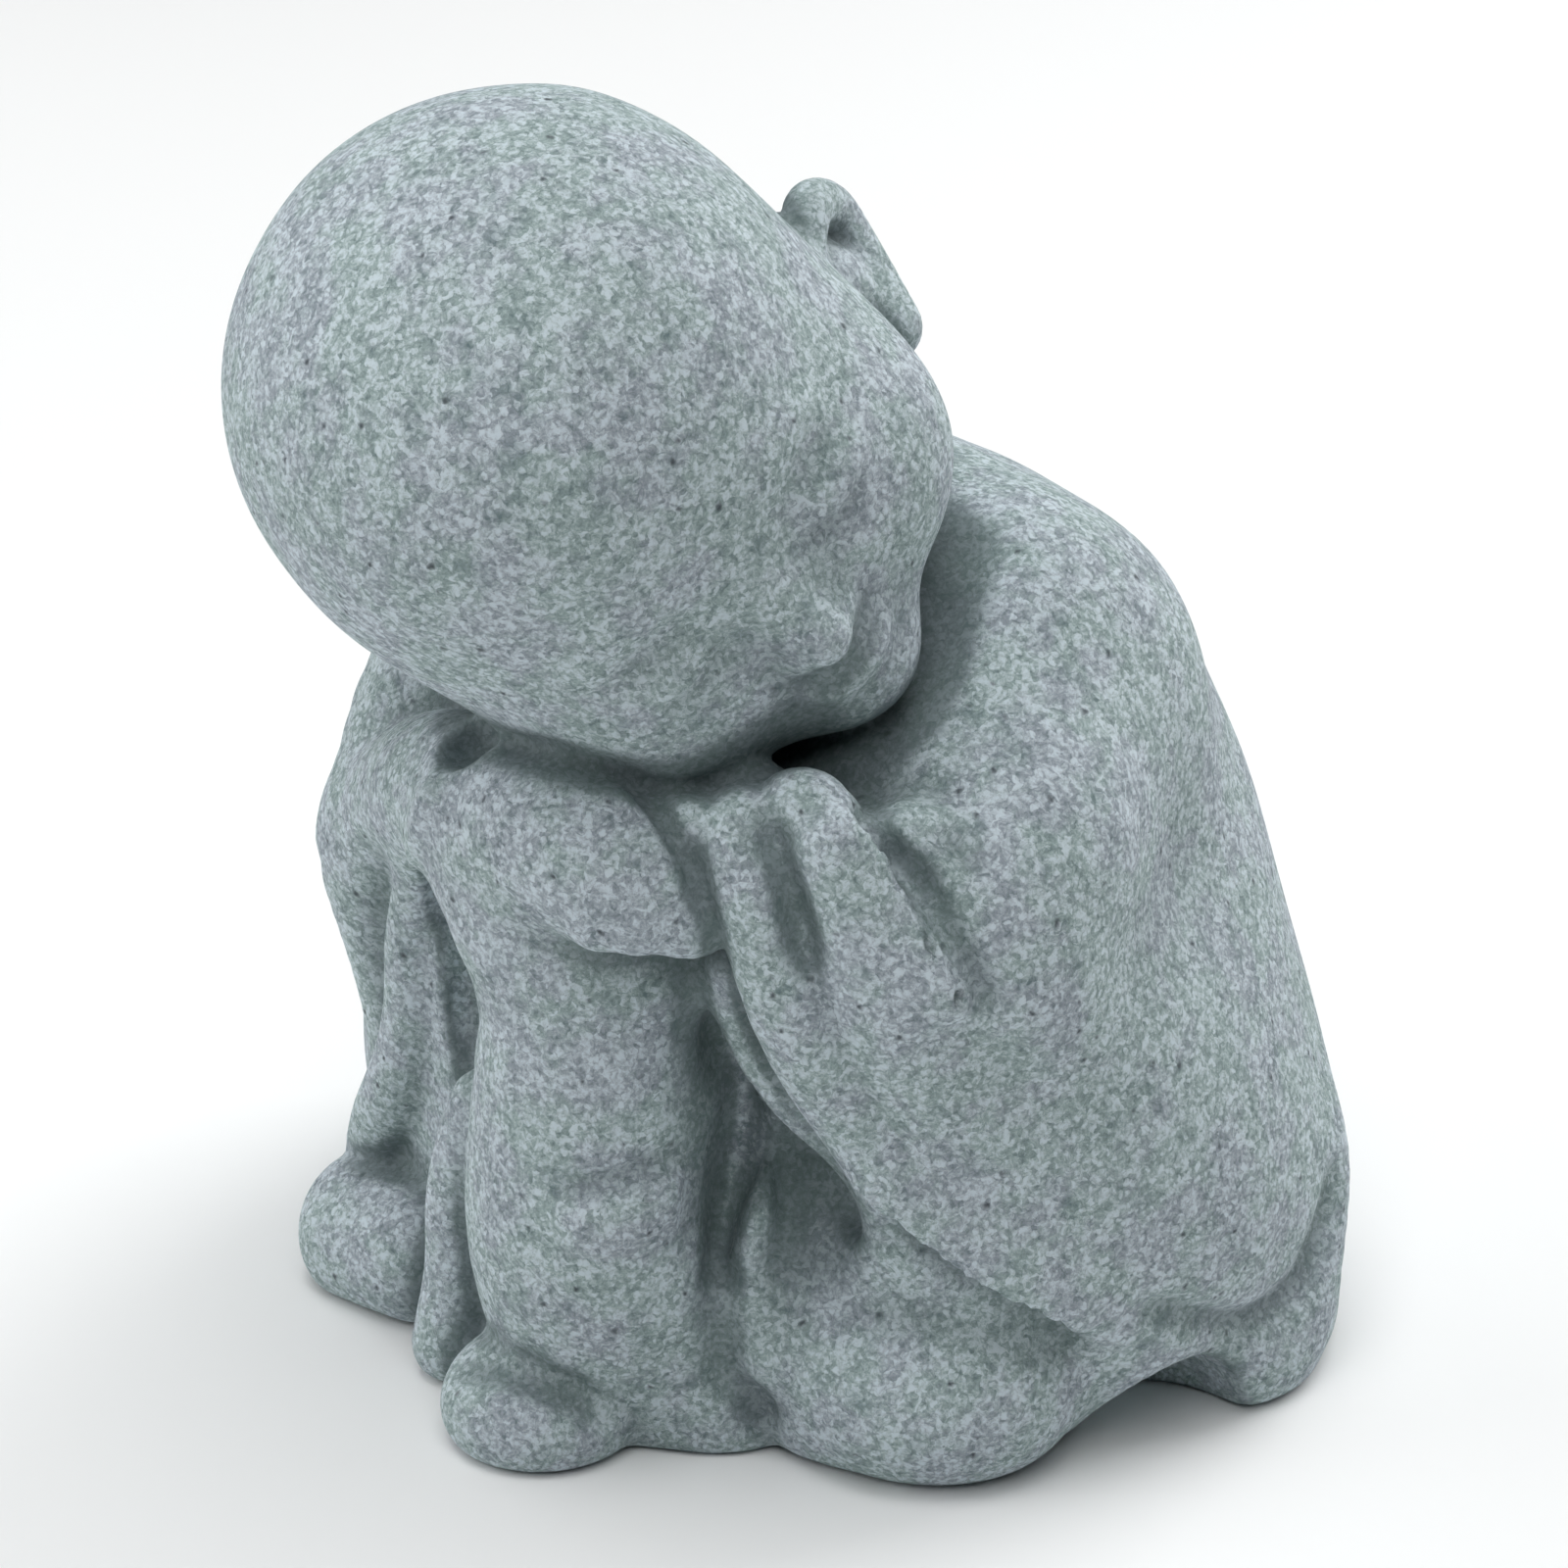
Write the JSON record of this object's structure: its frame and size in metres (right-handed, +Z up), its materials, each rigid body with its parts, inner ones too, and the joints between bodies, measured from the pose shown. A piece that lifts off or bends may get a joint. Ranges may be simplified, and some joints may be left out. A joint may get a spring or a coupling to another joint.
{
  "type": "resin buddha garden ornament",
  "caption": "Small cast-resin ornament: a bald child monk in a robe, asleep with the head on folded arms over a raised knee.",
  "frame": {"origin": "middle of the bounding box, on the underside the figure sits on", "axes": "+Z up; the seated figure faces -Y, and its own left side is towards +X"},
  "size_m": [0.0704, 0.071, 0.082],
  "materials": {
    "sandstone_resin": "matte cast resin filled with grey-green and mauve stone grains"
  },
  "bodies": {
    "root": {"sleeping_monk": "sandstone_resin"}
  },
  "joints": []
}
